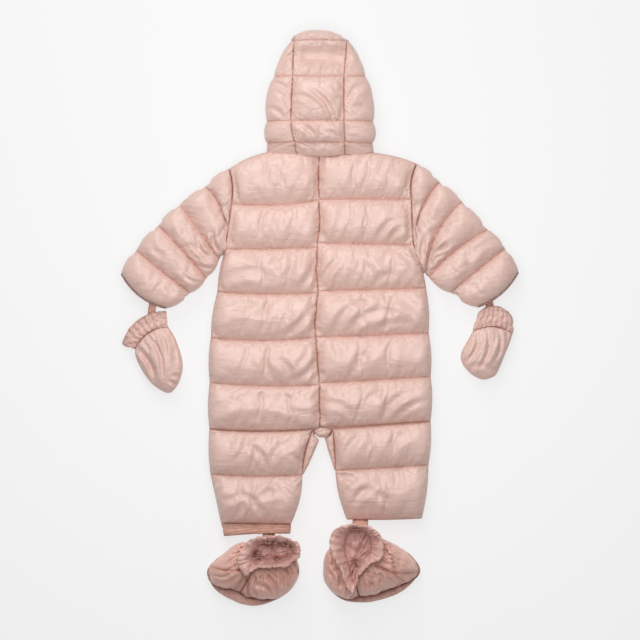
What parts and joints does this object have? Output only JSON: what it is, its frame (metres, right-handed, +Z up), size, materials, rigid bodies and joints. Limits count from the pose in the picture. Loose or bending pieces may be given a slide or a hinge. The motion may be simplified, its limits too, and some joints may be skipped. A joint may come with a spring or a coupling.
{
  "type": "baby snowsuit",
  "caption": "Padded, channel-quilted baby snowsuit with a hood, attached mittens and booties, laid flat face down with its back up.",
  "frame": {"origin": "on the surface the suit lies on, under the middle of its whole outline", "axes": "+Y from the booties to the hood, +X to the right looking down on the back, +Z up out of the back"},
  "size_m": [0.5796, 0.831, 0.066],
  "materials": {
    "shell_satin": "pale rose satin-weave nylon shell, quilted in channels over light filling, soft sheen",
    "band_satin": "the same pale rose satin, unquilted, gathered on elastic",
    "zip_tape": "matt woven tape dyed to match",
    "zip_metal": "small plain slider and pull"
  },
  "bodies": {
    "suit": {"back_left": "shell_satin", "back_right": "shell_satin", "front_left": "shell_satin", "front_right": "shell_satin", "crotch_gusset": "shell_satin", "inner_leg_left": "shell_satin", "inner_leg_right": "shell_satin", "sleeve_left": "shell_satin", "sleeve_right": "shell_satin", "hood_left": "shell_satin", "hood_centre": "shell_satin", "hood_right": "shell_satin", "mitten_back_left": "shell_satin", "mitten_back_right": "shell_satin", "mitten_palm_left": "shell_satin", "mitten_palm_right": "shell_satin", "bootie_toe_left": "shell_satin", "bootie_outer_left": "shell_satin", "bootie_inner_left": "shell_satin", "bootie_sole_left": "shell_satin", "bootie_toe_right": "shell_satin", "bootie_outer_right": "shell_satin", "bootie_inner_right": "shell_satin", "bootie_sole_right": "shell_satin", "sleeve_hem_left": "band_satin", "sleeve_hem_right": "band_satin", "hood_binding": "band_satin", "ankle_band_left": "band_satin", "mitten_cuff_left": "band_satin", "mitten_cuff_right": "band_satin", "mitten_tab_left": "band_satin", "mitten_tab_right": "band_satin", "bootie_cuff_left": "band_satin", "bootie_cuff_right": "band_satin", "bootie_tab_left": "band_satin", "bootie_tab_right": "band_satin", "front_zip": "zip_tape", "zip_slider": "zip_metal"},
    "pull": {"zip_pull": "zip_metal"}
  },
  "joints": [
    {"name": "pull_hinge", "type": "hinge", "parent": "suit", "child": "pull", "pos_m": [-0.00204, 0.22249, 0.008], "axis": [1, 0, 0], "range_deg": [0, 170]}
  ]
}
